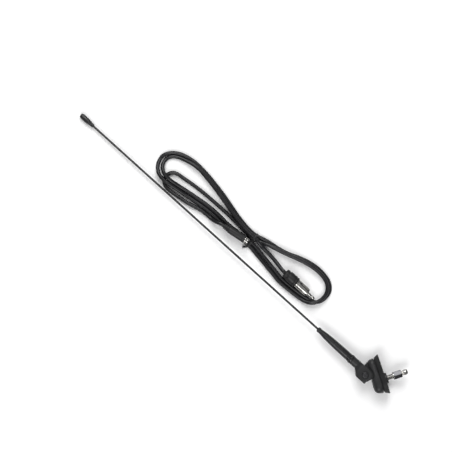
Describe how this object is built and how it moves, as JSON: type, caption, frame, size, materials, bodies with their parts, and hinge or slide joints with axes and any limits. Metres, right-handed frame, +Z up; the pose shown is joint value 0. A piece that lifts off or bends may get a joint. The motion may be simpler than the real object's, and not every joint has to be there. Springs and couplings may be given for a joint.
{
  "type": "car_mast_aerial",
  "caption": "Raked car mast aerial with a rubber boot, a threaded base stud and a separate coaxial lead lying bundled beside it",
  "frame": {"origin": "middle of the seat face under the foot, on the axis of the threaded stud", "axes": "+X runs along the mast from its tip to its base, +Z is up from the table it lies on, +Y completes them; the seat faces +X and +Y"},
  "size_m": [0.4587, 0.0622, 0.024],
  "materials": {
    "housing": "black moulded plastic with a soft sheen",
    "gasket": "soft black rubber",
    "boot": "smooth black rubber with a gloss",
    "rod": "black lacquered spring steel",
    "plated_metal": "bright nickel plate",
    "dark_metal": "blackened steel",
    "pivot_steel": "plain steel",
    "contact_brass": "spring brass",
    "insulator": "natural nylon",
    "jacket": "black soft vinyl jacket, satin",
    "grip": "black moulded plastic",
    "tie": "plastic covered wire"
  },
  "bodies": {
    "base": {"base_housing": "housing", "base_gasket": "gasket", "stud_tube": "plated_metal", "stud_insulator": "insulator", "stud_contact": "plated_metal", "contact_strip": "contact_brass", "toothed_washer": "plated_metal", "stud_nut": "dark_metal", "pivot_screw": "dark_metal", "spring_washer": "pivot_steel", "pivot_nut": "pivot_steel", "lead_hank": "jacket", "plug_tail": "jacket", "coupler_tail": "jacket", "hank_tie": "tie", "plug_grip": "grip", "plug_barrel": "plated_metal", "plug_insulator": "insulator", "plug_pin": "plated_metal", "coupler_grip": "grip", "coupler_shell": "plated_metal", "coupler_insulator": "insulator", "coupler_socket": "contact_brass"},
    "mast": {"knuckle": "housing", "mast_seal": "gasket", "mast_ferrule": "plated_metal", "mast_boot": "boot", "mast_rod": "rod", "tip_cap": "boot"}
  },
  "joints": [
    {"name": "rake", "type": "hinge", "parent": "base", "child": "mast", "pos_m": [-0.01955, -0.01227, -0.00039], "axis": [-0.0201, 0, 0.9998], "range_deg": [0, 60]}
  ]
}
